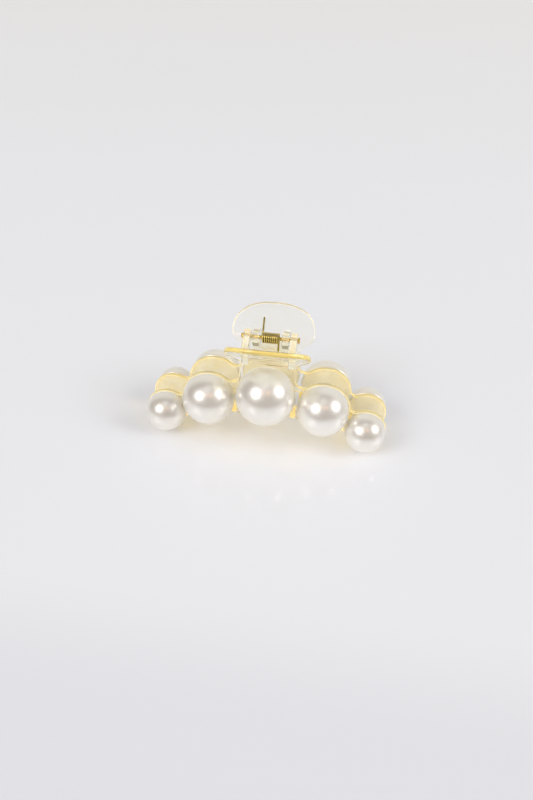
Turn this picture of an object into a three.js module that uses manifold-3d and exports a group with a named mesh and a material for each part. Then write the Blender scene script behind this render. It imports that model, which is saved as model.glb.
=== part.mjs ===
// Claw clip with faux pearls: two moulded jaws on one pin, a torsion spring between their lugs,
// and five flat-backed pearls in a scalloped arch on the outside of each jaw.
// Millimetres. +X runs along the clip, -Y is the front jaw's side, +Z is up.
// The clip stands on the four feet of its end petals, with its handles on top.
import * as THREE from "three";
import { mergeVertices } from "three/addons/utils/BufferGeometryUtils.js";
import Module from "manifold-3d";

const wasm = await Module();
wasm.setup();

// Pearls of one jaw, from its left end to its right one: centre along the clip, height, radius,
// and how far behind the centre the flat back is.
const PEARLS = [
  { name: "left_small", x: -34.8, z: 8.2, radius: 7.05, back: 1.7 },
  { name: "left_medium", x: -19.8, z: 15.4, radius: 9, back: 1.7 },
  { name: "centre_large", x: 0, z: 19.5, radius: 10.2, back: 2.8 },
  { name: "right_medium", x: 19.8, z: 15.4, radius: 9, back: 1.7 },
  { name: "right_small", x: 34.8, z: 8.2, radius: 7.05, back: 1.7 },
];
const GLUE_GAP = 0.25;
const PEARL_RINGS = 11;
const PEARL_SEGMENTS = 28;

// Arch plate: the flat scalloped back that the pearls sit on.
const PLATE_INNER = 4.2; // distance from the centre plane to its inner face
const PLATE_THICK = 1.6;
const PLATE_OUTER = PLATE_INNER + PLATE_THICK;
const PLATE_MIDDLE = PLATE_INNER + PLATE_THICK / 2;
const PETAL_LIP = 0.1; // how far a petal stands out around its pearl
const ARCH_RADIUS = 51.2; // centre line of the web that joins the petals
const ARCH_CENTRE_Z = -32.1;
const WEB_HALF_WIDTH = 4.1;
const FOOT_WIDTH = 6;

// Neck and handle: the plate bends outward over the arch and ends in an oval thumb plate.
const NECK_HALF_WIDTH = 9.6;
const NECK_FLARE = 0.9;
const NECK_BOTTOM_Z = 20;
const BEND_START_Z = 28.9;
const BEND_RADIUS = 7.4;
const BEND_TURN = THREE.MathUtils.degToRad(43);
const HANDLE_RADIUS = 33.7; // the thumb plate goes on curling outward, much more gently
const HANDLE_TURN = THREE.MathUtils.degToRad(21.5);
const HANDLE_HALF_WIDTH = 14.4;
const HANDLE_OVAL = 11.8; // half height of the oval end, along the plate
const OVAL_POWER = 2.3; // 2 is an ellipse, and more is squarer
const HANDLE_NECK = 17.2; // from the tip down to where the oval has narrowed to the neck

// Hinge
const PIN_Z = 37.1;
const PIN_RADIUS = 0.62;
const PIN_BORE_RADIUS = 0.85;
const PIN_HEAD_RADIUS = 1.1;
const PIN_HEAD_THICK = 0.55;
const PIN_PEEN_RADIUS = 0.95;
const PIN_PEEN_THICK = 0.9;
const PIN_SEGMENTS = 20;
const LUG_RADIUS = 2.4;
const LUG_THICK = 2.3;
const LUG_RISE = 2.5; // how far a lug runs up its thumb plate, past the bend
const OUTER_LUG_X = 7.9;
const INNER_LUG_X = 5.0;
const LUG_SIDE_GAP = 0.15;

// Torsion spring
const WIRE_RADIUS = 0.32;
const COIL_RADIUS = 1.6; // to the middle of the wire
const COIL_TURNS = 8;
const COIL_HALF_LENGTH = 2.75;
const LEG_END = 7; // where a leg meets its handle, from the tip down the plate
const LEG_GAP = 0.3;
const LEG_SPLAY = 0.9; // how far a leg leans sideways on its way to the handle
const WIRE_SIDES = 6;
const WIRE_STEPS = 126;

// Teeth: each jaw's teeth are shifted sideways, so that the two rows pass each other.
const TOOTH_SHIFT = 1.2;
const TOOTH_ROOT_THICK = 1.5;
const TOOTH_TIP_THICK = 1.1;
const TOOTH_TIP_HALF_WIDTH = 1.0;
const TOOTH_ROOT_HALF_WIDTH = 1.08;
const TOOTH_REACH = 0.9; // how far a tip passes the centre plane
const TEETH = [
  { x: -27.7, rootZ: 12, tipZ: 2.2 },
  { x: -10.45, rootZ: 17, tipZ: 5.1 },
  { x: 0, rootZ: 15, tipZ: 4.6 },
  { x: 10.45, rootZ: 17, tipZ: 5.1 },
  { x: 27.7, rootZ: 12, tipZ: 2.2 },
];

const ROUND_STEPS = 44;
const OVAL_STEPS = 40;
const BEND_STEPS = 6;
const CURVE_STEPS = 14;

const X = new THREE.Vector3(1, 0, 0);
const Y = new THREE.Vector3(0, 1, 0);
const Z = new THREE.Vector3(0, 0, 1);

function solid(geometry) {
  const bare = geometry.clone();
  bare.deleteAttribute("normal");
  bare.deleteAttribute("uv");
  const merged = mergeVertices(bare, 1e-4);
  return new wasm.Manifold(
    new wasm.Mesh({
      numProp: 3,
      vertProperties: merged.attributes.position.array,
      triVerts: new Uint32Array(merged.index.array),
    }),
  );
}

function geometryOf(body) {
  const mesh = body.getMesh();
  const geometry = new THREE.BufferGeometry();
  geometry.setAttribute("position", new THREE.BufferAttribute(mesh.vertProperties, 3));
  geometry.setIndex(new THREE.BufferAttribute(mesh.triVerts, 1));
  const flat = geometry.toNonIndexed();
  flat.computeVertexNormals();
  return flat;
}

function joined(bodies) {
  return bodies.reduce((whole, body) => whole.add(body));
}

function extruded(shape, length) {
  return new THREE.ExtrudeGeometry(shape, {
    depth: length,
    bevelEnabled: false,
    curveSegments: CURVE_STEPS,
  });
}

// A shape drawn in (Y, Z), extruded along X from x0 to x1.
function alongX(shape, x0, x1) {
  const placed = extruded(shape, x1 - x0);
  placed.applyMatrix4(new THREE.Matrix4().makeBasis(Y, Z, X));
  placed.translate(x0, 0, 0);
  return solid(placed);
}

// A shape drawn in (X, Z), extruded along Y from y0 to y1.
function alongY(shape, y0, y1) {
  const placed = extruded(shape, y1 - y0);
  placed.applyMatrix4(new THREE.Matrix4().makeBasis(X, Z, Y.clone().negate()));
  placed.translate(0, y1, 0);
  return solid(placed);
}

// A closed outline round a centre line in (Y, Z), with a thickness at each of its points.
function ribbon(line, thicknessAt) {
  const left = [];
  const right = [];
  line.forEach((point, i) => {
    const before = line[Math.max(i - 1, 0)];
    const after = line[Math.min(i + 1, line.length - 1)];
    const along = after.clone().sub(before).normalize();
    const across = new THREE.Vector2(-along.y, along.x);
    const half = thicknessAt(i / (line.length - 1)) / 2;
    left.push(point.clone().addScaledVector(across, half));
    right.push(point.clone().addScaledVector(across, -half));
  });
  return new THREE.Shape([...right, ...left.reverse()]);
}

function petals() {
  return joined(
    PEARLS.map(({ x, z, radius }) => {
      const size = radius + PETAL_LIP;
      const disc = new THREE.CylinderGeometry(size, size, PLATE_THICK, ROUND_STEPS);
      disc.translate(x, -PLATE_MIDDLE, z);
      return solid(disc);
    }),
  );
}

function web() {
  const reach = Math.asin(PEARLS[4].x / ARCH_RADIUS);
  const shape = new THREE.Shape();
  const start = Math.PI / 2 - reach;
  const end = Math.PI / 2 + reach;
  shape.absarc(0, ARCH_CENTRE_Z, ARCH_RADIUS + WEB_HALF_WIDTH, start, end, false);
  shape.absarc(0, ARCH_CENTRE_Z, ARCH_RADIUS - WEB_HALF_WIDTH, end, start, true);
  return alongY(shape, -PLATE_OUTER, -PLATE_INNER);
}

// The flat that an end petal stands on.
function foot(x) {
  const shape = new THREE.Shape([
    new THREE.Vector2(x - FOOT_WIDTH / 2, 0),
    new THREE.Vector2(x + FOOT_WIDTH / 2, 0),
    new THREE.Vector2(x + FOOT_WIDTH / 2 + 1, 4),
    new THREE.Vector2(x - FOOT_WIDTH / 2 - 1, 4),
  ]);
  return alongY(shape, -PLATE_OUTER, -PLATE_INNER);
}

// Centre line of the neck and handle, seen from the side: up the plate, round the neck's tight
// bend and out along the thumb plate's gentle one. Each arc turns about a centre on the outside.
const BEND_CENTRE = new THREE.Vector2(-PLATE_MIDDLE - BEND_RADIUS, BEND_START_Z);
const HANDLE_CENTRE = onArc(BEND_CENTRE, BEND_RADIUS - HANDLE_RADIUS, BEND_TURN);

function onArc(centre, radius, turn) {
  return new THREE.Vector2(Math.cos(turn), Math.sin(turn)).multiplyScalar(radius).add(centre);
}

// The point of the thumb plate a given way down from its tip, with an offset towards the pin.
function onThumbPlate(fromTip, offset = 0) {
  const turn = BEND_TURN + HANDLE_TURN - fromTip / HANDLE_RADIUS;
  return onArc(HANDLE_CENTRE, HANDLE_RADIUS + offset, turn);
}

const THUMB_LENGTH = HANDLE_RADIUS * HANDLE_TURN;

function handleLine() {
  const line = [new THREE.Vector2(-PLATE_MIDDLE, NECK_BOTTOM_Z - 1)];
  for (let i = 0; i <= BEND_STEPS; i++) {
    line.push(onArc(BEND_CENTRE, BEND_RADIUS, (BEND_TURN * i) / BEND_STEPS));
  }
  for (let i = 1; i <= BEND_STEPS; i++) {
    line.push(onThumbPlate(THUMB_LENGTH * (1 - i / BEND_STEPS)));
  }
  return line;
}

function neck() {
  const shape = new THREE.Shape();
  shape.moveTo(-NECK_HALF_WIDTH - NECK_FLARE, NECK_BOTTOM_Z);
  shape.lineTo(NECK_HALF_WIDTH + NECK_FLARE, NECK_BOTTOM_Z);
  shape.quadraticCurveTo(NECK_HALF_WIDTH, NECK_BOTTOM_Z + 3, NECK_HALF_WIDTH, BEND_START_Z + 1);
  shape.lineTo(NECK_HALF_WIDTH, BEND_START_Z + 3);
  shape.lineTo(-NECK_HALF_WIDTH, BEND_START_Z + 3);
  shape.lineTo(-NECK_HALF_WIDTH, BEND_START_Z + 1);
  shape.quadraticCurveTo(
    -NECK_HALF_WIDTH,
    NECK_BOTTOM_Z + 3,
    -NECK_HALF_WIDTH - NECK_FLARE,
    NECK_BOTTOM_Z,
  );
  return alongY(shape, -PLATE_OUTER - BEND_RADIUS, 0);
}

// The thumb plate's oval outline, drawn on the chord of its curl and cut through it.
function thumbOval() {
  const tip = onThumbPlate(0);
  const chord = tip.clone().sub(onThumbPlate(THUMB_LENGTH)).normalize();
  const widest = -HANDLE_OVAL;
  const shape = new THREE.Shape();
  shape.moveTo(-NECK_HALF_WIDTH, -HANDLE_NECK);
  shape.lineTo(NECK_HALF_WIDTH, -HANDLE_NECK);
  shape.bezierCurveTo(
    NECK_HALF_WIDTH + 0.3,
    -HANDLE_NECK + 1.4,
    HANDLE_HALF_WIDTH,
    widest - 2.8,
    HANDLE_HALF_WIDTH,
    widest,
  );
  for (let i = 1; i < OVAL_STEPS; i++) {
    const turn = (Math.PI * i) / OVAL_STEPS;
    const wide = Math.sign(Math.cos(turn)) * Math.abs(Math.cos(turn)) ** (2 / OVAL_POWER);
    const high = Math.sin(turn) ** (2 / OVAL_POWER);
    shape.lineTo(HANDLE_HALF_WIDTH * wide, widest + HANDLE_OVAL * high);
  }
  shape.lineTo(-HANDLE_HALF_WIDTH, widest);
  shape.bezierCurveTo(
    -HANDLE_HALF_WIDTH,
    widest - 2.8,
    -NECK_HALF_WIDTH - 0.3,
    -HANDLE_NECK + 1.4,
    -NECK_HALF_WIDTH,
    -HANDLE_NECK,
  );
  const depth = 9;
  const placed = extruded(shape, depth);
  placed.translate(0, 0, -depth / 2);
  const up = new THREE.Vector3(0, chord.x, chord.y);
  placed.applyMatrix4(new THREE.Matrix4().makeBasis(X, up, X.clone().cross(up)));
  placed.translate(0, tip.x, tip.y);
  return solid(placed);
}

function neckAndHandle() {
  const sheet = alongX(
    ribbon(handleLine(), () => PLATE_THICK),
    -HANDLE_HALF_WIDTH - 1,
    HANDLE_HALF_WIDTH + 1,
  );
  return sheet.intersect(neck().add(thumbOval()));
}

// A tooth runs down from the plate and curls inward past the centre plane.
function tooth({ x, rootZ, tipZ }) {
  const height = rootZ - tipZ;
  const curl = new THREE.CubicBezierCurve(
    new THREE.Vector2(-PLATE_MIDDLE, rootZ),
    new THREE.Vector2(-PLATE_MIDDLE, rootZ - height * 0.55),
    new THREE.Vector2(-PLATE_MIDDLE + 2.2, rootZ - height * 0.85),
    new THREE.Vector2(TOOTH_REACH, tipZ + TOOTH_TIP_THICK / 2),
  );
  const thicknessAt = (share) => THREE.MathUtils.lerp(TOOTH_ROOT_THICK, TOOTH_TIP_THICK, share);
  const middle = x - TOOTH_SHIFT;
  const side = alongX(
    ribbon(curl.getPoints(CURVE_STEPS), thicknessAt),
    middle - TOOTH_ROOT_HALF_WIDTH,
    middle + TOOTH_ROOT_HALF_WIDTH,
  );
  const front = new THREE.Shape([
    new THREE.Vector2(middle - TOOTH_TIP_HALF_WIDTH, 0),
    new THREE.Vector2(middle + TOOTH_TIP_HALF_WIDTH, 0),
    new THREE.Vector2(middle + TOOTH_ROOT_HALF_WIDTH, rootZ + 1),
    new THREE.Vector2(middle - TOOTH_ROOT_HALF_WIDTH, rootZ + 1),
  ]);
  return side.intersect(alongY(front, -PLATE_OUTER - 1, TOOTH_REACH + 2));
}

// A lug is a gusset from the inside of the bend to the pin, round at the pin.
function lug(x) {
  const bendMiddle = onArc(BEND_CENTRE, BEND_RADIUS, BEND_TURN / 2);
  const bendEnd = onThumbPlate(THUMB_LENGTH);
  const onHandle = onThumbPlate(THUMB_LENGTH - LUG_RISE);
  const low = -Math.PI / 4;
  const high = Math.PI * 0.62;
  const shape = new THREE.Shape();
  shape.moveTo(-PLATE_MIDDLE, BEND_START_Z - 1);
  shape.lineTo(LUG_RADIUS * Math.cos(low), PIN_Z + LUG_RADIUS * Math.sin(low));
  shape.absarc(0, PIN_Z, LUG_RADIUS, low, high, false);
  shape.lineTo(onHandle.x, onHandle.y);
  shape.lineTo(bendEnd.x, bendEnd.y);
  shape.lineTo(bendMiddle.x, bendMiddle.y);
  return alongX(shape, x - LUG_THICK / 2, x + LUG_THICK / 2);
}

function pinBore() {
  const bore = new THREE.CylinderGeometry(PIN_BORE_RADIUS, PIN_BORE_RADIUS, 24, 20);
  bore.rotateZ(Math.PI / 2);
  bore.translate(0, 0, PIN_Z);
  return solid(bore);
}

function jawGeometry(lugX) {
  const plate = joined([petals(), web(), ...[PEARLS[0].x, PEARLS[4].x].map(foot)]);
  const whole = joined([plate, neckAndHandle(), ...TEETH.map(tooth), lug(-lugX), lug(lugX)]);
  return geometryOf(whole.subtract(pinBore()));
}

// A ball with its back cut flat, its dome towards -Y.
function pearlGeometry({ radius, back }) {
  const rim = Math.asin(back / radius);
  const profile = [new THREE.Vector2(0, -back)];
  for (let i = 0; i < PEARL_RINGS; i++) {
    const angle = THREE.MathUtils.lerp(-rim, Math.PI / 2, i / PEARL_RINGS);
    profile.push(new THREE.Vector2(radius * Math.cos(angle), radius * Math.sin(angle)));
  }
  profile.push(new THREE.Vector2(0, radius));
  return new THREE.LatheGeometry(profile, PEARL_SEGMENTS).rotateX(Math.PI);
}

// The pin has a flat head at its right end and is peened over at its left one.
function pinGeometry() {
  const lugFace = OUTER_LUG_X + LUG_THICK / 2 + LUG_SIDE_GAP;
  const profile = [
    new THREE.Vector2(0, -lugFace - PIN_PEEN_THICK),
    new THREE.Vector2(PIN_PEEN_RADIUS * 0.7, -lugFace - PIN_PEEN_THICK),
    new THREE.Vector2(PIN_PEEN_RADIUS, -lugFace - PIN_PEEN_THICK / 2),
    new THREE.Vector2(PIN_PEEN_RADIUS, -lugFace),
    new THREE.Vector2(PIN_RADIUS, -lugFace),
    new THREE.Vector2(PIN_RADIUS, lugFace),
    new THREE.Vector2(PIN_HEAD_RADIUS, lugFace),
    new THREE.Vector2(PIN_HEAD_RADIUS, lugFace + PIN_HEAD_THICK),
    new THREE.Vector2(0, lugFace + PIN_HEAD_THICK),
  ];
  return new THREE.LatheGeometry(profile, PIN_SEGMENTS).rotateZ(-Math.PI / 2).translate(0, 0, PIN_Z);
}

// The wire lies over the front handle, winds round the pin from right to left, and lies over
// the rear handle. Its legs leave the top of the coil along its tangent.
class SpringWire extends THREE.Curve {
  constructor() {
    super();
    this.end = onThumbPlate(LEG_END, PLATE_THICK / 2 + LEG_GAP + WIRE_RADIUS);
    const reach = this.end.clone().sub(new THREE.Vector2(0, PIN_Z));
    this.leg = Math.sqrt(reach.lengthSq() - COIL_RADIUS ** 2);
    this.leave = reach.angle() - Math.acos(COIL_RADIUS / reach.length());
    this.sweep = 2 * Math.PI * COIL_TURNS - Math.PI + 2 * this.leave;
    this.coil = Math.hypot(this.sweep * COIL_RADIUS, 2 * COIL_HALF_LENGTH);
  }

  getPoint(share, target = new THREE.Vector3()) {
    const along = share * (2 * this.leg + this.coil);
    const wound = THREE.MathUtils.clamp((along - this.leg) / this.coil, 0, 1);
    const angle = this.leave - this.sweep * wound;
    const straight = along - this.leg - wound * this.coil;
    const x = COIL_HALF_LENGTH * (1 - 2 * wound) - (LEG_SPLAY * straight) / this.leg;
    return target.set(
      x,
      COIL_RADIUS * Math.cos(angle) + straight * Math.sin(angle),
      PIN_Z + COIL_RADIUS * Math.sin(angle) - straight * Math.cos(angle),
    );
  }
}

function springGeometry() {
  const section = new THREE.Shape();
  section.absarc(0, 0, WIRE_RADIUS, 0, 2 * Math.PI, false);
  return new THREE.ExtrudeGeometry(section, {
    extrudePath: new SpringWire(),
    steps: WIRE_STEPS,
    curveSegments: WIRE_SIDES,
    bevelEnabled: false,
  });
}

const plastic = { color: 0xeedf9e, roughness: 0.15, metalness: 0 };
const pearl = { color: 0xf3eee6, roughness: 0.2, metalness: 0 };
const gold = { color: 0xd8a63c, roughness: 0.3, metalness: 1 };

function piece(name, geometry, finish) {
  const mesh = new THREE.Mesh(geometry, new THREE.MeshStandardMaterial(finish));
  mesh.name = name;
  return mesh;
}

function jaw(side, lugX) {
  const group = new THREE.Group();
  group.add(piece(side + "_jaw", jawGeometry(lugX), plastic));
  for (const spec of PEARLS) {
    const ball = piece(side + "_pearl_" + spec.name, pearlGeometry(spec), pearl);
    ball.position.set(spec.x, -PLATE_OUTER - GLUE_GAP - spec.back, spec.z);
    group.add(ball);
  }
  return group;
}

// Both jaws are the same moulding, apart from how far out their lugs stand. The rear one is
// turned half round, so its own left end is on the clip's right.
const clip = new THREE.Group();
const rear = jaw("rear", INNER_LUG_X);
rear.rotation.z = Math.PI;
clip.add(jaw("front", OUTER_LUG_X), rear);
clip.add(piece("hinge_pin", pinGeometry(), gold));
clip.add(piece("torsion_spring", springGeometry(), gold));

export default clip;
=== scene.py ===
import math

import bmesh
import bpy
import numpy as np
from mathutils import Matrix, Vector


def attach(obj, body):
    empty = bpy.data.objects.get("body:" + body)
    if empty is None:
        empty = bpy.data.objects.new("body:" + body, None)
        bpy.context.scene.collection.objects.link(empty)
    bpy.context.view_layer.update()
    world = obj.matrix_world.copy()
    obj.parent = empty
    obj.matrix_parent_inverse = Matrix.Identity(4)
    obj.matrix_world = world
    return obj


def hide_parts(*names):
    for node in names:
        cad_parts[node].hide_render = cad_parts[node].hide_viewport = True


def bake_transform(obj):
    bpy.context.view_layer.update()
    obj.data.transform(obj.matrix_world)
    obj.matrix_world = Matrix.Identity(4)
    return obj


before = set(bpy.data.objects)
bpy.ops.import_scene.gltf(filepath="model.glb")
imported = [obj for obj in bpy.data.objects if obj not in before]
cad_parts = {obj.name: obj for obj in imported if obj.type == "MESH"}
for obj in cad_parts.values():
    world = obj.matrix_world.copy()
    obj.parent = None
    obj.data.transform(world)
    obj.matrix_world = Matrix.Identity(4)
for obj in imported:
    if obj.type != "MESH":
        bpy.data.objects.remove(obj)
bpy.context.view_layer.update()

# Shapes are worked out in millimetres and scaled to metres when a piece is placed.
MM = 0.001
rng = np.random.default_rng(7)

# ---- dimensions of the clip, the same as the CAD model's ----
# each pearl's name, its centre's x and z, its radius, and how far behind its centre its back is
PEARLS = [
    ("left_small", -34.8, 8.2, 7.05, 1.7),
    ("left_medium", -19.8, 15.4, 9.0, 1.7),
    ("centre_large", 0.0, 19.5, 10.2, 2.8),
    ("right_medium", 19.8, 15.4, 9.0, 1.7),
    ("right_small", 34.8, 8.2, 7.05, 1.7),
]
PEARL_EDGE = 0.45
GLUE_GAP, GLUE_WOBBLE, GLUE_CLEARANCE = 0.25, 0.005, 0.01
PLATE_INNER, PLATE_THICK, PLATE_EDGE = 4.2, 1.6, 0.4
PLATE_OUTER = PLATE_INNER + PLATE_THICK
PLATE_MIDDLE = PLATE_INNER + PLATE_THICK / 2
PETAL_LIP, PETAL_FILLET = 0.1, 0.9
ARCH_RADIUS, ARCH_CENTRE_Z, WEB_HALF_WIDTH = 51.2, -32.1, 4.1
FOOT_WIDTH, FOOT_FLARE, FOOT_HEIGHT, FOOT_FILLET = 6.0, 1.0, 4.0, 0.5
NECK_HALF_WIDTH, NECK_FLARE, NECK_BOTTOM_Z, NECK_FILLET = 9.6, 0.9, 20.0, 1.2
BEND_START_Z, BEND_RADIUS, BEND_TURN = 28.9, 7.4, math.radians(43)
HANDLE_RADIUS, HANDLE_TURN = 33.7, math.radians(21.5)
HANDLE_HALF_WIDTH, HANDLE_OVAL, HANDLE_NECK = 14.4, 11.8, 17.2
OVAL_POWER = 2.3
PIN_Z, PIN_RADIUS, PIN_BORE_RADIUS, BORE_REACH = 37.1, 0.62, 0.85, 12
PIN_HEAD_RADIUS, PIN_HEAD_THICK = 1.1, 0.55
PIN_CUT, PEEN_CUT = 0.08, 0.06
# the head's rounded rim: how far each point is inside its radius and below its top
PIN_HEAD_RIM = [(0, 0.14), (0.05, 0.04), (0.15, 0)]
PIN_PEEN_RADIUS, PIN_PEEN_THICK, PIN_PEEN_SIDE = 0.95, 0.9, 0.25
LUG_RADIUS, LUG_THICK, LUG_RISE, LUG_EDGE = 2.4, 2.3, 2.5, 0.3
OUTER_LUG_X, INNER_LUG_X, LUG_SIDE_GAP = 7.9, 5.0, 0.15
WIRE_RADIUS, COIL_RADIUS, COIL_TURNS, COIL_HALF_LENGTH = 0.32, 1.6, 8, 2.75
LEG_END, LEG_GAP, LEG_SPLAY = 7.0, 0.3, 0.9
TOOTH_SHIFT, TOOTH_REACH = 1.2, 0.9
TOOTH_ROOT_THICK, TOOTH_TIP_THICK = 1.5, 1.1
TOOTH_ROOT_HALF_WIDTH, TOOTH_TIP_HALF_WIDTH, TOOTH_EDGE = 1.08, 1.0, 0.4
# each tooth's place along x, and the heights of its root and its tip
TEETH = [
    (-27.7, 12.0, 2.2),
    (-10.45, 17.0, 5.1),
    (0.0, 15.0, 4.6),
    (10.45, 17.0, 5.1),
    (27.7, 12.0, 2.2),
]

# ---- the sheet's centre line in (y, z), by its length s measured from z = 0 ----
BEND_LENGTH = BEND_RADIUS * BEND_TURN
THUMB_LENGTH = HANDLE_RADIUS * HANDLE_TURN
TIP_S = BEND_START_Z + BEND_LENGTH + THUMB_LENGTH
BEND_CENTRE = np.array([-PLATE_MIDDLE - BEND_RADIUS, BEND_START_Z])
HANDLE_CENTRE = BEND_CENTRE + (BEND_RADIUS - HANDLE_RADIUS) * np.array(
    [math.cos(BEND_TURN), math.sin(BEND_TURN)]
)


def sheet_point(s, outward):
    """(y, z) of the sheet at length s, a distance outward, away from the pin, of its middle."""
    if s <= BEND_START_Z:
        return np.array([-PLATE_MIDDLE - outward, s])
    if s <= BEND_START_Z + BEND_LENGTH:
        turn = (s - BEND_START_Z) / BEND_RADIUS
        centre, radius = BEND_CENTRE, BEND_RADIUS - outward
    else:
        turn = BEND_TURN + (s - BEND_START_Z - BEND_LENGTH) / HANDLE_RADIUS
        centre, radius = HANDLE_CENTRE, HANDLE_RADIUS - outward
    return centre + radius * np.array([math.cos(turn), math.sin(turn)])


# The grid on which a jaw's outline is traced, and the distance between the outline's points.
GRID_STEP, GRID_HALF_WIDTH, GRID_BOTTOM = 0.25, 44, -1.1
OUTLINE_STEP = 0.4

# The sides of the neck and the lower curve of the thumb plate stay almost clear of the painted edge
# glow: it fades at their edges over these heights.
NECK_CLEAR_FROM, NECK_FADE = 24.0, 2.0
WIDEST_Z, WIDEST_FADE = sheet_point(TIP_S - HANDLE_OVAL, 0)[1], 1.5
CLEARED = 0.75

# Painted edge glow: how strongly a yellower tint and emission stand in for light piped to the edges
# of the sheet, of a tooth and of a lug, by the material index that marks them while a jaw is built.
# Index 0 is the sheet's two flats.
RIM_GLOW = (0.0, 1.0, 1.15, 0.42)
# The share of that painted glow which shows on each jaw's arch and on its handle, set for each jaw
# by how the light falls on it.
ARCH_GLOW = {"front": 0.8, "rear": 0.88}
HANDLE_GLOW = {"front": 1.0, "rear": 0.5}


# ---- mesh helpers ----
def to_object(name, bm):
    """A mesh object of a bmesh, which is used up."""
    mesh = bpy.data.meshes.new(name)
    bm.to_mesh(mesh)
    bm.free()
    o = bpy.data.objects.new(name, mesh)
    bpy.context.scene.collection.objects.link(o)
    return o


def bezier(p0, p1, p2, p3, n):
    """n points of a cubic curve from p0 to p3, with p1 and p2 as its handles."""
    t = np.linspace(0, 1, n)[:, None]
    p0, p1, p2, p3 = (np.array(p, float) for p in (p0, p1, p2, p3))
    return (1 - t) ** 3 * p0 + 3 * (1 - t) ** 2 * t * p1 + 3 * (1 - t) * t**2 * p2 + t**3 * p3


def resampled(points, step):
    """A closed outline with its points evenly spaced."""
    ring = np.vstack([points, points[:1]])
    length = np.concatenate([[0], np.cumsum(np.hypot(*np.diff(ring, axis=0).T))])
    count = max(8, int(round(length[-1] / step)))
    at = np.linspace(0, length[-1], count, endpoint=False)
    return np.column_stack([np.interp(at, length, ring[:, k]) for k in (0, 1)])


def outline_normals(points):
    """Outward normals of a closed outline that runs anticlockwise, longer where it turns."""
    before, after = np.roll(points, 1, 0), np.roll(points, -1, 0)
    e0, e1 = points - before, after - points
    n0 = np.column_stack([e0[:, 1], -e0[:, 0]]) / np.linalg.norm(e0, axis=1)[:, None]
    n1 = np.column_stack([e1[:, 1], -e1[:, 0]]) / np.linalg.norm(e1, axis=1)[:, None]
    n = n0 + n1
    n /= np.linalg.norm(n, axis=1)[:, None]
    return n / np.clip((n * n0).sum(1), 0.5, 1)[:, None]


def anticlockwise(points):
    """The outline, turned round if it runs clockwise."""
    x, y = points.T
    area = (x * np.roll(y, -1) - y * np.roll(x, -1)).sum()
    return points if area > 0 else points[::-1]


def rounded_slab(points, thick, edge, steps=4, mark=1):
    """bmesh of a flat outline, thick in z about z = 0, with its edges rounded.

    The faces of its edge get the material index mark, and its two flats get 0.
    """
    points = anticlockwise(np.asarray(points, float))
    normals = outline_normals(points)
    bm = bmesh.new()
    rings = []
    turns = np.linspace(-math.pi / 2, math.pi / 2, 2 * steps + 1)
    for turn in turns:
        inset = edge * (1 - math.cos(turn))
        height = math.copysign(thick / 2 - edge, turn) + edge * math.sin(turn)
        if abs(turn) < 1e-9:
            height = 0  # halfway up the side
        at = points - normals * inset
        rings.append([bm.verts.new((x, y, height)) for x, y in at])
    for low, high in zip(rings, rings[1:]):
        for i in range(len(low)):
            j = (i + 1) % len(low)
            bm.faces.new((low[i], low[j], high[j], high[i])).material_index = mark
    bm.faces.new(rings[0][::-1])
    bm.faces.new(rings[-1])
    return bm


def apply_modifiers(o):
    """Puts the mesh that an object's modifiers make in the object's place."""
    dg = bpy.context.evaluated_depsgraph_get()
    mesh = bpy.data.meshes.new_from_object(o.evaluated_get(dg))
    o.modifiers.clear()
    o.data = mesh


def boolean(o, other, operation):
    """Joins or cuts a piece with another, which is used up; faces keep their material index."""
    for piece in (o, other):
        while len(piece.data.materials) < len(RIM_GLOW):
            piece.data.materials.append(None)
    m = o.modifiers.new("cut", "BOOLEAN")
    m.operation, m.object, m.solver = operation, other, "EXACT"
    apply_modifiers(o)
    bpy.data.objects.remove(other)


def smooth_faces(o, sharp_angle=math.radians(38)):
    """Smooth shading, apart from edges sharper than the angle, with flat faces kept flat."""
    bm = bmesh.new()
    bm.from_mesh(o.data)
    bmesh.ops.remove_doubles(bm, verts=bm.verts, dist=1e-4)
    for f in bm.faces:
        f.smooth = True
    for e in bm.edges:
        e.smooth = len(e.link_faces) != 2 or e.calc_face_angle(0) < sharp_angle
    bm.to_mesh(o.data)
    bm.free()
    m = o.modifiers.new("normals", "WEIGHTED_NORMAL")
    m.keep_sharp, m.weight, m.mode = True, 50, "FACE_AREA"


def lathe(profile, segments):
    """bmesh of a profile of (radius, height) turned about z."""
    bm = bmesh.new()
    rings = []
    for r, h in profile:
        if r < 1e-6:
            rings.append([bm.verts.new((0, 0, h))])
        else:
            rings.append(
                [
                    bm.verts.new((r * math.cos(a), r * math.sin(a), h))
                    for a in np.linspace(0, 2 * math.pi, segments, endpoint=False)
                ]
            )
    for low, high in zip(rings, rings[1:]):
        for i in range(segments):
            j = (i + 1) % segments
            if len(low) == 1:
                bm.faces.new((low[0], high[j], high[i]))
            elif len(high) == 1:
                bm.faces.new((low[i], low[j], high[0]))
            else:
                bm.faces.new((low[i], low[j], high[j], high[i]))
    bmesh.ops.recalc_face_normals(bm, faces=bm.faces)
    return bm


def placed(o, turn=0.0):
    """Turns a piece about the clip's upright axis and scales it to metres."""
    o.data.transform(Matrix.Scale(MM, 4) @ Matrix.Rotation(turn, 4, "Z"))
    o.data.update()
    return o


# ---- jaw ----
def smooth_min(a, b, k):
    """The smaller of two distances, with the corner between them filled over a width k."""
    h = np.clip(0.5 + 0.5 * (b - a) / k, 0, 1)
    return b * (1 - h) + a * h - k * h * (1 - h)


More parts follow.
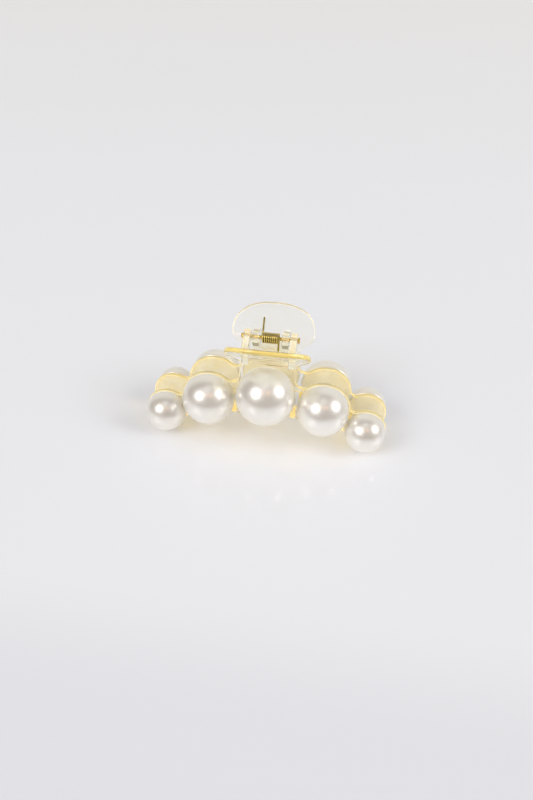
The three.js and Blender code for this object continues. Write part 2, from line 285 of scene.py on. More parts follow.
def polygon_distance(points, x, z):
    """Signed distance to a polygon, negative inside."""
    best = np.full(x.shape, 1e9)
    inside = np.zeros(x.shape, bool)
    for (ax, az), (bx, bz) in zip(points, np.roll(points, -1, 0)):
        ex, ez = bx - ax, bz - az
        t = np.clip(((x - ax) * ex + (z - az) * ez) / (ex * ex + ez * ez), 0, 1)
        best = np.minimum(best, np.hypot(x - ax - t * ex, z - az - t * ez))
        if ez != 0:
            hit = ((az > z) != (bz > z)) & (x < ax + (z - az) / ez * ex)
            inside ^= hit
    return np.where(inside, -best, best)


def neck_and_oval():
    """The neck and thumb plate's outline, unrolled flat."""
    n = 12
    # the inner points of both curves are given
    flare = bezier(
        (NECK_HALF_WIDTH + NECK_FLARE, NECK_BOTTOM_Z),
        (NECK_HALF_WIDTH + NECK_FLARE / 3, NECK_BOTTOM_Z + 2),
        (NECK_HALF_WIDTH, NECK_BOTTOM_Z + 4),
        (NECK_HALF_WIDTH, BEND_START_Z + 1),
        n,
    )
    widest = TIP_S - HANDLE_OVAL
    ear = bezier(
        (NECK_HALF_WIDTH, TIP_S - HANDLE_NECK),
        (NECK_HALF_WIDTH + 0.3, TIP_S - HANDLE_NECK + 1.4),
        (HANDLE_HALF_WIDTH, widest - 2.8),
        (HANDLE_HALF_WIDTH, widest),
        n,
    )
    turn = np.linspace(0, math.pi / 2, 30)[1:]
    power = 2 / OVAL_POWER
    top = np.column_stack(
        [
            HANDLE_HALF_WIDTH * np.abs(np.cos(turn)) ** power,
            widest + HANDLE_OVAL * np.sin(turn) ** power,
        ]
    )
    right = np.vstack([flare, ear, top])
    left = right[::-1][1:] * (-1, 1)
    return np.vstack([right, left])


def jaw_distance(x, z):
    """Signed distance to the unrolled jaw's outline, negative inside."""
    d = np.full(x.shape, 1e9)
    for _, px, pz, r, _ in PEARLS:
        d = smooth_min(d, np.hypot(x - px, z - pz) - r - PETAL_LIP, PETAL_FILLET)
    reach = math.asin(PEARLS[4][1] / ARCH_RADIUS)
    angle = np.abs(np.arctan2(x, z - ARCH_CENTRE_Z)) - reach
    ring = np.abs(np.hypot(x, z - ARCH_CENTRE_Z) - ARCH_RADIUS) - WEB_HALF_WIDTH
    d = smooth_min(d, np.maximum(ring, angle * ARCH_RADIUS), PETAL_FILLET)
    d = smooth_min(d, polygon_distance(neck_and_oval(), x, z), NECK_FILLET)
    half = FOOT_WIDTH / 2
    wide = half + FOOT_FLARE
    for px in (PEARLS[0][1], PEARLS[4][1]):
        foot = np.array(
            [(px - half, 0), (px + half, 0), (px + wide, FOOT_HEIGHT), (px - wide, FOOT_HEIGHT)]
        )
        d = smooth_min(d, polygon_distance(foot, x, z), FOOT_FILLET)
    return np.maximum(d, -z)


def jaw_outline():
    """Traces the edge of the unrolled jaw, as one closed line of points."""
    xs = np.arange(-GRID_HALF_WIDTH, GRID_HALF_WIDTH + GRID_STEP, GRID_STEP)
    zs = np.arange(GRID_BOTTOM, TIP_S + 1, GRID_STEP)
    gx, gz = np.meshgrid(xs, zs, indexing="ij")
    d = jaw_distance(gx, gz)
    segments = {}

    def crossing(i, j, k, l):
        """Where the outline crosses the line between two grid points."""
        a, b = d[i, j], d[k, l]
        t = a / (a - b)
        return (xs[i] + t * (xs[k] - xs[i]), zs[j] + t * (zs[l] - zs[j]))

    inside = d < 0
    count = (
        inside[:-1, :-1].astype(int) + inside[1:, :-1] + inside[1:, 1:] + inside[:-1, 1:]
    )
    for i, j in zip(*np.nonzero((count > 0) & (count < 4))):
        corners = [(i, j), (i + 1, j), (i + 1, j + 1), (i, j + 1)]
        leaves = enters = None
        for a, b in zip(corners, corners[1:] + corners[:1]):
            if inside[a] and not inside[b]:
                leaves = (min(a, b), max(a, b))
            elif inside[b] and not inside[a]:
                enters = (min(a, b), max(a, b))
        segments[leaves] = enters
    start = here = next(iter(segments))
    line = []
    while True:
        (i, j), (k, l) = here
        line.append(crossing(i, j, k, l))
        here = segments[here]
        if here == start:
            break
    line = np.array(line)
    for _ in range(2):
        line = (np.roll(line, 1, 0) + 2 * line + np.roll(line, -1, 0)) / 4
    return resampled(line, OUTLINE_STEP)


def jaw_sheet(outline, name):
    """The flat outline made a slab, cut into strips and bent along the sheet's centre line."""
    bm = rounded_slab(outline, PLATE_THICK, PLATE_EDGE)
    first = BEND_START_Z - 0.2
    cuts = list(np.linspace(BEND_START_Z, BEND_START_Z + BEND_LENGTH, 12))
    cuts += list(np.linspace(BEND_START_Z + BEND_LENGTH, TIP_S - 0.3, 12)[1:])
    for s in [first, *cuts]:
        bmesh.ops.bisect_plane(
            bm,
            geom=bm.verts[:] + bm.edges[:] + bm.faces[:],
            plane_co=(0, s, 0),
            plane_no=(0, 1, 0),
            dist=1e-4,
        )
    for v in bm.verts:
        y, z = sheet_point(v.co.y, v.co.z)
        v.co = (v.co.x, y, z)
    bmesh.ops.recalc_face_normals(bm, faces=bm.faces)
    return to_object(name, bm)


def along_x(bm, x):
    """Turns a slab drawn in (y, z) so that its thickness runs along x, at x."""
    bm.transform(
        Matrix.Translation((x, 0, 0))
        @ Matrix(((0, 0, 1, 0), (1, 0, 0, 0), (0, 1, 0, 0), (0, 0, 0, 1)))
    )
    bmesh.ops.recalc_face_normals(bm, faces=bm.faces)
    return bm


def tooth(x, root_z, tip_z):
    """A tooth that leaves the sheet downwards and curls in past the middle of the clip."""
    height = root_z - tip_z
    # its middle line runs straight down at first, then turns in
    curl = bezier(
        (-PLATE_MIDDLE, root_z),
        (-PLATE_MIDDLE, root_z - height * 0.55),
        (-PLATE_MIDDLE + 2.2, root_z - height * 0.85),
        (TOOTH_REACH, tip_z + TOOTH_TIP_THICK / 2),
        22,
    )
    along = np.gradient(curl, axis=0)
    along /= np.linalg.norm(along, axis=1)[:, None]
    across = np.column_stack([-along[:, 1], along[:, 0]])
    half = np.linspace(TOOTH_ROOT_THICK, TOOTH_TIP_THICK, len(curl))[:, None] / 2
    # the last stretch is a half round end
    tip = curl[-1] - along[-1] * half[-1]
    turn = np.linspace(-math.pi / 2, math.pi / 2, 9)[1:-1, None]
    cap = tip + half[-1] * (np.cos(turn) * along[-1] + np.sin(turn) * across[-1])
    keep = np.linalg.norm(curl - curl[-1], axis=1) > float(half[-1][0])
    side = curl[keep]
    outline = np.vstack(
        [side - across[keep] * half[keep], cap, (side + across[keep] * half[keep])[::-1]]
    )
    bm = along_x(rounded_slab(outline, 2 * TOOTH_ROOT_HALF_WIDTH, TOOTH_EDGE, 3, mark=2), 0)
    for v in bm.verts:
        share = np.clip((root_z - v.co.z) / height, 0, 1)
        wide = TOOTH_ROOT_HALF_WIDTH + share * (TOOTH_TIP_HALF_WIDTH - TOOTH_ROOT_HALF_WIDTH)
        v.co.x = v.co.x * wide / TOOTH_ROOT_HALF_WIDTH + x - TOOTH_SHIFT
    return bm


def lug(x):
    """An ear that joins the bend of the sheet to a round boss about the pin."""
    middle = sheet_point(BEND_START_Z + BEND_LENGTH / 2, 0)
    end = sheet_point(BEND_START_Z + BEND_LENGTH, 0)
    high = sheet_point(BEND_START_Z + BEND_LENGTH + LUG_RISE, 0)
    turn = np.linspace(-math.pi / 4, math.pi * 0.62, 22)
    boss = np.column_stack([LUG_RADIUS * np.cos(turn), PIN_Z + LUG_RADIUS * np.sin(turn)])
    outline = np.vstack([[(-PLATE_MIDDLE, BEND_START_Z - 1)], boss, [high], [end], [middle]])
    return along_x(rounded_slab(outline, LUG_THICK, LUG_EDGE, 3, mark=3), x)


def gather_rim(o, arch_glow, handle_glow):
    """Turns the edge marks into a value at each vertex for the painted edge glow, which fades out
    on the flats.
    """
    bm = bmesh.new()
    bm.from_mesh(o.data)
    layer = bm.verts.layers.float.new("rim")
    for v in bm.verts:
        glow = min(RIM_GLOW[f.material_index] for f in v.link_faces)
        glow *= arch_glow if v.co.z < BEND_START_Z else handle_glow
        up = (v.co.z - NECK_CLEAR_FROM) / NECK_FADE
        down = (WIDEST_Z - v.co.z) / WIDEST_FADE
        clear = min(max(min(up, down), 0), 1)
        v[layer] = glow * (1 - CLEARED * clear)
    for f in bm.faces:
        f.material_index = 0
    bm.to_mesh(o.data)
    bm.free()


def jaw(side, lug_x, turn, outline):
    """A whole jaw: the bent sheet with its teeth and lugs joined on and the pin's bore cut."""
    o = jaw_sheet(outline, f"{side}_jaw_moulding")
    extra = bmesh.new()
    for bm in [*(tooth(*t) for t in TEETH), lug(-lug_x), lug(lug_x)]:
        mesh = bpy.data.meshes.new("part")
        bm.to_mesh(mesh)
        bm.free()
        extra.from_mesh(mesh)
        bpy.data.meshes.remove(mesh)
    boolean(o, to_object("extra", extra), "UNION")
    rod = [(0, -BORE_REACH), (PIN_BORE_RADIUS, -BORE_REACH)]
    rod += [(PIN_BORE_RADIUS, BORE_REACH), (0, BORE_REACH)]
    bore = lathe(rod, 32)
    bore.transform(Matrix.Translation((0, 0, PIN_Z)) @ Matrix.Rotation(math.pi / 2, 4, "Y"))
    boolean(o, to_object("bore", bore), "DIFFERENCE")
    gather_rim(o, ARCH_GLOW[side], HANDLE_GLOW[side])
    smooth_faces(o)
    return placed(o, turn)


# ---- pearls ----
def pearl(name, x, z, radius, back, turn):
    """A ball with a flat back, whose edge is rounded."""
    flat = math.sqrt(radius**2 - back**2)
    profile = [(0, -back), (flat * 0.5, -back), (flat - 2.2 * PEARL_EDGE, -back)]
    start = np.array([flat - 1.4 * PEARL_EDGE, -back])
    low = -math.asin(back / radius) + PEARL_EDGE / radius
    end = radius * np.array([math.cos(low), math.sin(low)])
    corner = np.array([flat, -back])
    for t in np.linspace(0, 1, 6):
        profile.append((1 - t) ** 2 * start + 2 * t * (1 - t) * corner + t * t * end)
    for a in np.linspace(low, math.pi / 2, 40)[1:]:
        profile.append((radius * math.cos(a), radius * math.sin(a)))
    profile[-1] = (0, radius)
    bm = lathe(profile, 96)
    bm.transform(
        Matrix.Translation((x, -PLATE_OUTER - GLUE_GAP - back, z))
        @ Matrix.Rotation(math.pi / 2, 4, "X")
    )
    bmesh.ops.recalc_face_normals(bm, faces=bm.faces)
    for f in bm.faces:
        f.smooth = True
    return placed(to_object(name, bm), turn)


def glue_pad(name, x, z, radius, back, turn):
    """The cement between a pearl's flat back and its petal, squeezed out unevenly."""
    flat = math.sqrt(radius**2 - back**2)
    top, low = -PLATE_OUTER - GLUE_GAP + GLUE_CLEARANCE, -PLATE_OUTER - GLUE_CLEARANCE
    bm = bmesh.new()
    n = 72
    wave = rng.uniform(0, 2 * math.pi, 4)
    rings = []
    for share, y in ((0, low), (0.97, low), (1.0, (top + low) / 2), (0.97, top), (0, top)):
        if share == 0:
            rings.append([bm.verts.new((x, y, z))])
            continue
        ring = []
        for a in np.linspace(0, 2 * math.pi, n, endpoint=False):
            wobble = 1 + sum(GLUE_WOBBLE * math.sin((k + 2) * a + wave[k]) for k in range(4))
            r = flat * share * wobble
            ring.append(bm.verts.new((x + r * math.cos(a), y, z + r * math.sin(a))))
        rings.append(ring)
    for low_ring, high_ring in zip(rings, rings[1:]):
        for i in range(n):
            j = (i + 1) % n
            a = [low_ring[i % len(low_ring)], low_ring[j % len(low_ring)]]
            b = [high_ring[j % len(high_ring)], high_ring[i % len(high_ring)]]
            quad = list(dict.fromkeys(a + b))
            bm.faces.new(quad)
    bmesh.ops.recalc_face_normals(bm, faces=bm.faces)
    for f in bm.faces:
        f.smooth = True
    o = to_object(name, bm)
    m = o.modifiers.new("normals", "WEIGHTED_NORMAL")
    m.weight = 50
    return placed(o, turn)


# ---- pin and spring ----
def pin():
    """The pivot pin: its peened end is towards -X and its head towards +X."""
    face = OUTER_LUG_X + LUG_THICK / 2 + LUG_SIDE_GAP
    top = face + PIN_HEAD_THICK
    profile = [(0, -face - PIN_PEEN_THICK)]
    for t in np.linspace(0, math.pi / 2, 7)[1:]:
        profile.append(
            (
                PIN_PEEN_RADIUS * math.sin(t) ** 0.8,
                -face - PIN_PEEN_SIDE - (PIN_PEEN_THICK - PIN_PEEN_SIDE) * math.cos(t),
            )
        )
    profile += [
        (PIN_PEEN_RADIUS, -face - PEEN_CUT),
        (PIN_PEEN_RADIUS - PEEN_CUT, -face),
        (PIN_RADIUS, -face),
        (PIN_RADIUS, -face + 0.1),
        (PIN_RADIUS, face),
        (PIN_HEAD_RADIUS - PIN_CUT, face),
        (PIN_HEAD_RADIUS, face + PIN_CUT),
        *((PIN_HEAD_RADIUS - inside, top - below) for inside, below in PIN_HEAD_RIM),
        (0, top),
    ]
    bm = lathe(profile, 40)
    bm.transform(Matrix.Translation((0, 0, PIN_Z)) @ Matrix.Rotation(math.pi / 2, 4, "Y"))
    o = to_object("pivot_pin", bm)
    smooth_faces(o)
    return placed(o)


def spring_points():
    """The wire's centre line: a leg, the coil round the pin, and the other leg."""
    end = sheet_point(TIP_S - LEG_END, -(PLATE_THICK / 2 + LEG_GAP + WIRE_RADIUS))
    reach = end - np.array([0, PIN_Z])
    leg = math.sqrt(reach @ reach - COIL_RADIUS**2)
    leave = math.atan2(reach[1], reach[0]) - math.acos(COIL_RADIUS / math.hypot(*reach))
    sweep = 2 * math.pi * COIL_TURNS - math.pi + 2 * leave
    coil = math.hypot(sweep * COIL_RADIUS, 2 * COIL_HALF_LENGTH)

    def at(along):
        """The point at a length along the wire."""
        wound = min(max((along - leg) / coil, 0), 1)
        angle = leave - sweep * wound
        straight = along - leg - wound * coil
        return Vector(
            (
                COIL_HALF_LENGTH * (1 - 2 * wound) - LEG_SPLAY * straight / leg,
                COIL_RADIUS * math.cos(angle) + straight * math.sin(angle),
                PIN_Z + COIL_RADIUS * math.sin(angle) - straight * math.cos(angle),
            )
        )

    stops = [*np.linspace(0, leg, 12)[:-1], *np.linspace(leg, leg + coil, COIL_TURNS * 26)]
    stops += list(np.linspace(leg + coil, 2 * leg + coil, 12)[1:])
    return [at(s) for s in stops]


def swept(name, points, radius, sides):
    """A round wire along points, with domed ends."""
    bm = bmesh.new()
    tangents = [
        (points[min(i + 1, len(points) - 1)] - points[max(i - 1, 0)]).normalized()
        for i in range(len(points))
    ]
    normal = tangents[0].orthogonal().normalized()
    rings = []

    def ring(centre, tangent, r):
        """Adds a ring of points across the wire."""
        side = tangent.cross(normal)
        rings.append(
            [
                bm.verts.new(centre + r * (math.cos(a) * normal + math.sin(a) * side))
                for a in np.linspace(0, 2 * math.pi, sides, endpoint=False)
            ]
        )

    # each step of a dome: its share of the radius, and how far out it is, in radii
    dome = [(0.3, 0.57), (0.7, 0.426), (0.93, 0.216)]
    for wide, out in dome:
        ring(points[0] - tangents[0] * radius * out, tangents[0], radius * wide)
    for p, t in zip(points, tangents):
        normal = (normal - t * normal.dot(t)).normalized()
        ring(p, t, radius)
    for wide, out in dome[::-1]:
        ring(points[-1] + tangents[-1] * radius * out, tangents[-1], radius * wide)
    for low, high in zip(rings, rings[1:]):
        for i in range(sides):
            j = (i + 1) % sides
            bm.faces.new((low[i], low[j], high[j], high[i]))
    bm.faces.new(rings[0][::-1])
    bm.faces.new(rings[-1])
    bmesh.ops.recalc_face_normals(bm, faces=bm.faces)
    for f in bm.faces:
        f.smooth = True
    return to_object(name, bm)


# ---- materials ----
class Nodes:
    """A material's node tree with short calls. A noise's scale is counted per metre."""

    def __init__(self, name):
        self.mat = bpy.data.materials.new(name)
        self.mat.use_nodes = True
        self.mat.cycles.emission_sampling = "NONE"
        self.tree = self.mat.node_tree
        self.bsdf = self.tree.nodes["Principled BSDF"]
        self.out = self.tree.nodes["Material Output"]

    def set(self, **values):
        """Sets inputs of the surface shader by their names, with _ for a space."""
        for key, value in values.items():
            self.bsdf.inputs[key.replace("_", " ")].default_value = value

    def add(self, kind, **values):
        n = self.tree.nodes.new(kind)
        for key, value in values.items():
            setattr(n, key, value)
        return n

    def link(self, a, b):
        self.tree.links.new(a, b)

    def noise(self, scale, detail=3.0, roughness=0.5, vector=None):
        n = self.add("ShaderNodeTexNoise")
        n.inputs["Scale"].default_value = scale
        n.inputs["Detail"].default_value = detail
        n.inputs["Roughness"].default_value = roughness
        if vector is None:
            vector = self.add("ShaderNodeTexCoord").outputs["Object"]
        self.link(vector, n.inputs["Vector"])
        return n.outputs["Fac"]

    def ramp(self, fac, stops):
        """A colour ramp through stops, each a place and a colour."""
        n = self.add("ShaderNodeValToRGB")
        e = n.color_ramp.elements
        while len(e) < len(stops):
            e.new(0.5)
        for i, (at, colour) in enumerate(stops):
            e[i].position = at
            e[i].color = (*colour, 1)
        self.link(fac, n.inputs["Fac"])
        return n.outputs["Color"]

    def span(self, value, low, high):
        """Spreads a value that runs from 0 to 1 over low to high."""
        n = self.add("ShaderNodeMapRange")
        self.link(value, n.inputs["Value"])
        n.inputs["To Min"].default_value = low
        n.inputs["To Max"].default_value = high
        return n.outputs["Result"]

    def bump(self, height, strength, distance):
        n = self.add("ShaderNodeBump")
        n.inputs["Strength"].default_value = strength
        n.inputs["Distance"].default_value = distance
        self.link(height, n.inputs["Height"])
        self.link(n.outputs["Normal"], self.bsdf.inputs["Normal"])


def plastic_material():
    k = Nodes("tinted_plastic")
    k.set(IOR=1.5)
    rim = k.add("ShaderNodeAttribute", attribute_name="rim").outputs["Fac"]
    # painted edge glow: the colour turns yellower towards the edges, standing in for light piped
    # there
    edge_glow_colour = k.ramp(rim, [(0.0, (1, 1, 1)), (0.35, (1.0, 0.95, 0.82)), (1.0, (1.0, 0.80, 0.30))])
    # flow marks, drawn out along the clip's height
    drawn = k.add("ShaderNodeVectorMath", operation="MULTIPLY")
    k.link(k.add("ShaderNodeTexCoord").outputs["Object"], drawn.inputs[0])
    drawn.inputs[1].default_value = (1, 1, 0.3)
    flow = k.noise(420, 4, 0.6, drawn.outputs["Vector"])
    flow = k.ramp(flow, [(0.36, (1, 1, 1)), (0.64, (1.0, 0.985, 0.92))])
    # the painted edge glow times the flow marks
    glow_and_flow = k.add("ShaderNodeMixRGB", blend_type="MULTIPLY")
    glow_and_flow.inputs["Fac"].default_value = 1
    k.link(edge_glow_colour, glow_and_flow.inputs["Color1"])
    k.link(flow, glow_and_flow.inputs["Color2"])
    k.link(glow_and_flow.outputs["Color"], k.bsdf.inputs["Base Color"])
    # painted edge glow: the plastic is less clear towards its edges
    k.link(k.span(rim, 0.97, 0.5), k.bsdf.inputs["Transmission Weight"])
    # painted glow: the edges emit, standing in for light that the clear plastic pipes to them
    k.set(Emission_Strength=0.3)
    k.link(
        k.ramp(
            rim,
            [
                (0.0, (0, 0, 0)),
                (0.35, (0.32, 0.285, 0.22)),
                (0.85, (1.0, 0.84, 0.40)),
                (1.0, (0.33, 0.26, 0.07)),
            ],
        ),
        k.bsdf.inputs["Emission Color"],
    )
    k.link(k.span(k.noise(420, 2), 0.012, 0.05), k.bsdf.inputs["Roughness"])
    k.bump(k.noise(160, 2), 0.05, 0.0004)
    absorb = k.add("ShaderNodeVolumeAbsorption")
    absorb.inputs["Color"].default_value = (0.995, 0.96, 0.3, 1)
    absorb.inputs["Density"].default_value = 16
    k.link(absorb.outputs["Volume"], k.out.inputs["Volume"])
    # light from the lamps goes through, a little tinted at the edges
    clear = k.add("ShaderNodeBsdfTransparent")
    k.link(
        k.ramp(rim, [(0.0, (0.975, 0.94, 0.81)), (1.0, (0.95, 0.76, 0.34))]),
        clear.inputs["Color"],
    )
    path = k.add("ShaderNodeLightPath")
    mix = k.add("ShaderNodeMixShader")
    k.link(path.outputs["Is Shadow Ray"], mix.inputs[0])
    k.link(k.bsdf.outputs[0], mix.inputs[1])
    k.link(clear.outputs[0], mix.inputs[2])
    k.link(mix.outputs[0], k.out.inputs["Surface"])
    return k.mat


def pearl_material():
    k = Nodes("faux_pearl")
    k.set(
        Metallic=0.62,
        Coat_Weight=0.6,
        Coat_Roughness=0.3,
        Sheen_Weight=0.25,
        Sheen_Roughness=0.5,
        Sheen_Tint=(1.0, 0.96, 0.87, 1),
        IOR=1.55,
    )
    cloud = k.noise(150, 4, 0.6)
    k.link(
        k.ramp(cloud, [(0.3, (0.945, 0.91, 0.825)), (0.7, (0.975, 0.955, 0.90))]),
        k.bsdf.inputs["Base Color"],
    )
    k.link(k.span(k.noise(500, 3), 0.285, 0.32), k.bsdf.inputs["Roughness"])
    k.bump(k.noise(700, 2), 0.02, 0.00004)
    return k.mat


def glue_material():
    k = Nodes("clear_cement")
    # painted glow: the cement emits a little, standing in for light that reaches it through the
    # plastic
    k.set(Roughness=0.35, IOR=1.5, Emission_Color=(0.93, 0.91, 0.78, 1), Emission_Strength=0.15)
    k.link(
        k.ramp(
            k.noise(190, 4, 0.65),
            [(0.36, (0.84, 0.77, 0.56)), (0.5, (0.83, 0.80, 0.72)), (0.66, (0.91, 0.89, 0.83))],
        ),
        k.bsdf.inputs["Base Color"],
    )
    return k.mat


def gold_material():
    k = Nodes("gold_metal")
    k.set(Metallic=1.0)
    k.link(
        k.ramp(k.noise(1500, 4, 0.6), [(0.3, (0.62, 0.44, 0.08)), (0.7, (0.88, 0.66, 0.18))]),
        k.bsdf.inputs["Base Color"],
    )
    k.link(k.span(k.noise(2500, 3), 0.14, 0.24), k.bsdf.inputs["Roughness"])
    k.bump(k.noise(5000, 2), 0.15, 0.00003)
    return k.mat


def wire_material():
    """Gold wire, with a painted highlight on the outside of the coil and painted shade between its
    turns and on its legs.
    """
    k = Nodes("gold_wire")
    k.set(Metallic=1.0)
    from_axis = k.add("ShaderNodeVectorMath", operation="MULTIPLY_ADD")
    k.link(k.add("ShaderNodeTexCoord").outputs["Object"], from_axis.inputs[0])
    from_axis.inputs[1].default_value = (0, 1, 1)
    from_axis.inputs[2].default_value = (0, 0, -PIN_Z * MM)
    length = k.add("ShaderNodeVectorMath", operation="LENGTH")
    k.link(from_axis.outputs["Vector"], length.inputs[0])
    out = k.add("ShaderNodeMapRange")
    k.link(length.outputs["Value"], out.inputs["Value"])
    out.inputs["From Min"].default_value = COIL_RADIUS * MM
    out.inputs["From Max"].default_value = (COIL_RADIUS + 2 * WIRE_RADIUS) * MM
    # painted shade and highlight by distance from the pin's axis: dark on the wire's sides between
    # the turns, brightest on the coil's outside, darker on the legs
    k.link(
        k.ramp(
            out.outputs["Result"],
            [
                (0.26, (0.05, 0.03, 0.005)),
                (0.42, (0.55, 0.40, 0.08)),
                (0.48, (1.0, 0.82, 0.30)),
                (0.60, (0.90, 0.68, 0.20)),
                (0.90, (0.38, 0.29, 0.035)),
            ],
        ),
        k.bsdf.inputs["Base Color"],
    )
    k.link(k.span(k.noise(2500, 3), 0.18, 0.30), k.bsdf.inputs["Roughness"])
    k.bump(k.noise(5000, 2), 0.1, 0.00003)
    return k.mat


# how far in front of the clip, in metres, the floor begins and ends to turn darker
FLOOR_SHADE_START_Y, FLOOR_SHADE_END_Y = -0.078, -0.12


def floor_material():
    k = Nodes("glazed_floor")
    k.set(IOR=1.5, Emission_Color=(1.0, 0.99, 0.98, 1), Emission_Strength=0.1)
    # in front of the clip the floor turns a little darker, and glossy rays there see a painted
    # reflection of a dim warm room
    split = k.add("ShaderNodeSeparateXYZ")
    k.link(k.add("ShaderNodeTexCoord").outputs["Object"], split.inputs["Vector"])
    beyond = k.add("ShaderNodeMapRange", interpolation_type="SMOOTHSTEP")
    k.link(split.outputs["Y"], beyond.inputs["Value"])
    beyond.inputs["From Min"].default_value = FLOOR_SHADE_START_Y
    beyond.inputs["From Max"].default_value = FLOOR_SHADE_END_Y
    beyond = beyond.outputs["Result"]
    k.link(
        k.ramp(beyond, [(0.0, (0.88, 0.88, 0.89)), (1.0, (0.80, 0.80, 0.82))]),
        k.bsdf.inputs["Base Color"],
    )
    # painted reflection: the dim room that glossy rays see in the floor in front
    room_reflection = k.add("ShaderNodeEmission")
    room_reflection.inputs["Color"].default_value = (0.30, 0.24, 0.18, 1)
    path = k.add("ShaderNodeLightPath")
    mirrored = k.add("ShaderNodeMath", operation="SUBTRACT", use_clamp=True)
    k.link(path.outputs["Is Glossy Ray"], mirrored.inputs[0])
    k.link(path.outputs["Is Transmission Ray"], mirrored.inputs[1])
    share = k.add("ShaderNodeMath", operation="MULTIPLY")
    k.link(mirrored.outputs[0], share.inputs[0])
    k.link(beyond, share.inputs[1])
    mix = k.add("ShaderNodeMixShader")
    k.link(share.outputs[0], mix.inputs[0])
    k.link(k.bsdf.outputs[0], mix.inputs[1])
    k.link(room_reflection.outputs[0], mix.inputs[2])
    k.link(mix.outputs[0], k.out.inputs["Surface"])
    k.link(k.span(k.noise(60, 3), 0.09, 0.15), k.bsdf.inputs["Roughness"])
    return k.mat


# ---- build ----
outline = jaw_outline()
plastic, nacre, cement, gold = (
    plastic_material(),
    pearl_material(),
    glue_material(),
    gold_material(),
)


def finish_piece(o, material, slot, body, *nodes):
    """Gives a piece its material, the body it rides on and the nodes it replaces. The slot is not
    used.
    """
    o.data.materials.clear()
    o.data.materials.append(material)
    if body:
        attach(o, body)
    if nodes:
        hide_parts(*nodes)


for side, lug_x, turn in (("front", OUTER_LUG_X, 0.0), ("rear", INNER_LUG_X, math.pi)):
    o = jaw(side, lug_x, turn, outline)
    finish_piece(o, plastic, "tinted_plastic", side, f"{side}_jaw")
    for label, x, z, radius, back in PEARLS:
        o = pearl(f"{side}_ball_{label}", x, z, radius, back, turn)
        finish_piece(o, nacre, "faux_pearl", side, f"{side}_pearl_{label}")
        o = glue_pad(f"{side}_cement_{label}", x, z, radius, back, turn)
        finish_piece(o, cement, "faux_pearl", side)

finish_piece(pin(), gold, "gold_metal", "front", "hinge_pin")

coil = swept("coil_spring", spring_points(), WIRE_RADIUS, 12)
placed(coil)
finish_piece(coil, wire_material(), "gold_metal", None, "torsion_spring")
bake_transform(coil)

# ---- floor ----
FLOOR_HALF_SIZE = 6
bm = bmesh.new()
bmesh.ops.create_grid(bm, x_segments=1, y_segments=1, size=FLOOR_HALF_SIZE)
floor = to_object("floor", bm)
floor.data.materials.append(floor_material())


# ---- light ----
LIT_POINT = Vector((0, 0, 0.018))
SOFTBOXES = {"left_softbox": (-0.533, -0.636, 0.554), "right_softbox": (0.813, -0.191, 0.551)}
WHITE, COOL = (1, 1, 1), (0.90, 0.96, 1.06)
# each disc of a softbox: its name's ending, distance, size, power and colour
SOFTBOX_DISCS = [
    ("", 4.0, 1.9, 40, WHITE),
    ("_edge", 4.05, 2.8, 9, COOL),
    ("_glow", 4.1, 5.4, 13, COOL),
]
LAMP_DISTANCE, LAMP_SIZE = 1.2, 0.12


def area_light(name, direction, distance, size, power, colour):
    """A round lamp that faces the clip from a direction, with sizes in metres."""
    data = bpy.data.lights.new(name, "AREA")
    data.shape, data.size, data.energy, data.color = "DISK", size, power, colour
    o = bpy.data.objects.new(name, data)
    bpy.context.scene.collection.objects.link(o)
    d = Vector(direction).normalized()
    o.location = LIT_POINT + d * distance
    o.rotation_mode = "QUATERNION"
    o.rotation_quaternion = d.to_track_quat("Z", "Y")
    return o


# The softboxes stand well back, so that the floor is evenly lit. Each is a bright disc in front of
# two wider, fainter and bluer ones, which soften its edge.
for name, direction in SOFTBOXES.items():
    for ending, *disc in SOFTBOX_DISCS:
        area_light(name + ending, direction, *disc)
# Two small warm lamps make the faint peach spots between the highlights.
for name, direction, power, colour in (
    ("warm_lamp_left", (-0.13, -0.69, 0.72), 0.17, (1.0, 0.60, 0.36)),
    ("warm_lamp_right", (0.245, -0.66, 0.72), 0.26, (1.0, 0.56, 0.34)),
):
    area_light(name, direction, LAMP_DISTANCE, LAMP_SIZE, power, colour)


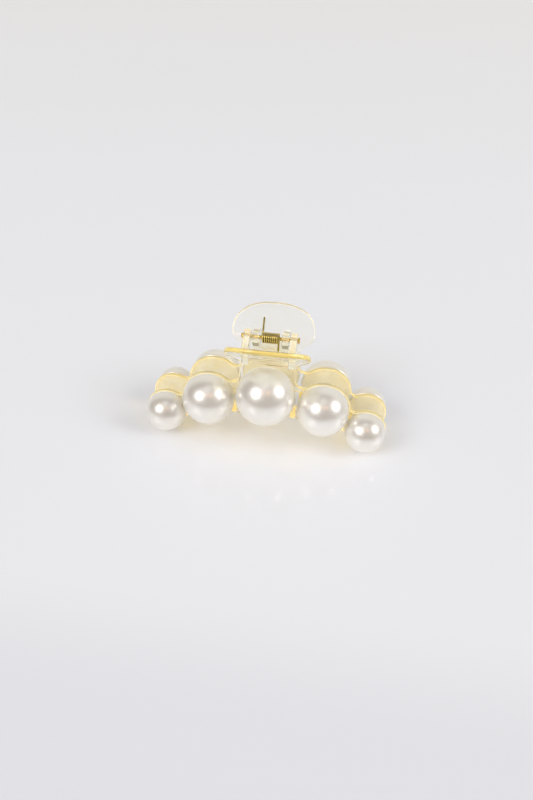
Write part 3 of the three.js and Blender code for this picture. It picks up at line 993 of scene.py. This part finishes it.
def studio_world():
    """Soft light from all round. Mirrored, refracted and camera rays see other colours in it."""
    world = bpy.data.worlds.new("studio")
    bpy.context.scene.world = world
    world.use_nodes = True
    tree = world.node_tree
    tree.nodes.clear()

    def two_stops(fac, *stops):
        """A colour ramp with two stops, each a place and a colour."""
        n = tree.nodes.new("ShaderNodeValToRGB")
        tree.links.new(fac, n.inputs["Fac"])
        for element, (at, colour) in zip(n.color_ramp.elements, stops):
            element.position, element.color = at, (*colour, 1)
        return n.outputs["Color"]

    def mixed(fac, a, b):
        """Goes from a to b by a share, where each is a colour or a socket."""
        n = tree.nodes.new("ShaderNodeMixRGB")
        tree.links.new(fac, n.inputs["Fac"])
        for source, socket in ((a, n.inputs["Color1"]), (b, n.inputs["Color2"])):
            if isinstance(source, tuple):
                socket.default_value = (*source, 1)
            else:
                tree.links.new(source, socket)
        return n.outputs["Color"]

    coord = tree.nodes.new("ShaderNodeTexCoord").outputs["Generated"]
    split = tree.nodes.new("ShaderNodeSeparateXYZ")
    tree.links.new(coord, split.inputs["Vector"])
    path = tree.nodes.new("ShaderNodeLightPath")

    # The fill comes from the front, so that the clip's own shadow falls behind it.
    toward_back = tree.nodes.new("ShaderNodeMapRange")
    tree.links.new(split.outputs["Y"], toward_back.inputs["Value"])
    toward_back.inputs["From Min"].default_value = -1.0
    fill = two_stops(
        toward_back.outputs["Result"], (0.35, (0.52, 0.52, 0.545)), (0.65, (0.31, 0.31, 0.32))
    )

    # Glossy surfaces show a dim warm room in front, with a lighter patch of ceiling.
    overhead = tree.nodes.new("ShaderNodeVectorMath")
    overhead.operation = "DOT_PRODUCT"
    overhead.inputs[1].default_value = (0.0, -0.27, 0.963)
    tree.links.new(coord, overhead.inputs[0])
    patch = tree.nodes.new("ShaderNodeMapRange")
    patch.interpolation_type = "SMOOTHSTEP"
    patch.inputs["From Min"].default_value, patch.inputs["From Max"].default_value = 0.93, 0.99
    tree.links.new(overhead.outputs["Value"], patch.inputs["Value"])
    room = two_stops(split.outputs["Y"], (0.15, (0.27, 0.21, 0.155)), (0.5, (0.76, 0.73, 0.68)))
    room = mixed(patch.outputs["Result"], room, (0.72, 0.71, 0.70))

    mirrored = tree.nodes.new("ShaderNodeMath")
    mirrored.operation, mirrored.use_clamp = "SUBTRACT", True
    tree.links.new(path.outputs["Is Glossy Ray"], mirrored.inputs[0])
    tree.links.new(path.outputs["Is Transmission Ray"], mirrored.inputs[1])
    seen = mixed(mirrored.outputs[0], fill, room)
    seen = mixed(path.outputs["Is Transmission Ray"], seen, (0.72, 0.70, 0.63))
    seen = mixed(path.outputs["Is Camera Ray"], seen, (0.80, 0.80, 0.83))
    background = tree.nodes.new("ShaderNodeBackground")
    tree.links.new(seen, background.inputs["Color"])
    tree.links.new(background.outputs[0], tree.nodes.new("ShaderNodeOutputWorld").inputs["Surface"])


studio_world()

# ---- camera ----
# It looks down at the front jaw. The eye is in millimetres, in axes turned by yaw about the clip.
YAW, PITCH, ROLL = math.radians(6.1), math.radians(35.0), math.radians(2.7)
EYE = Vector((-0.49, -231.38, 173.77))


def aim_camera():
    data = bpy.data.cameras.new("camera")
    camera = bpy.data.objects.new("camera", data)
    bpy.context.scene.collection.objects.link(camera)
    data.lens = data.sensor_width = 36
    data.clip_start, data.clip_end = 0.01, 30
    forward = Vector((0, math.cos(PITCH), -math.sin(PITCH)))
    right = Vector((1, 0, 0))
    up = right.cross(forward)
    tilted_right = right * math.cos(ROLL) + up * math.sin(ROLL)
    tilted_up = up * math.cos(ROLL) - right * math.sin(ROLL)
    to_clip = Matrix.Rotation(YAW, 4, "Z")
    axes = Matrix((tilted_right, tilted_up, -forward)).transposed().to_4x4()
    camera.matrix_world = to_clip @ Matrix.Translation(EYE * MM) @ axes
    bpy.context.scene.camera = camera


aim_camera()

scene = bpy.context.scene
scene.view_settings.view_transform = "Standard"
scene.view_settings.look = "None"
scene.cycles.max_bounces = 24
scene.cycles.transmission_bounces = 24
scene.cycles.transparent_max_bounces = 24
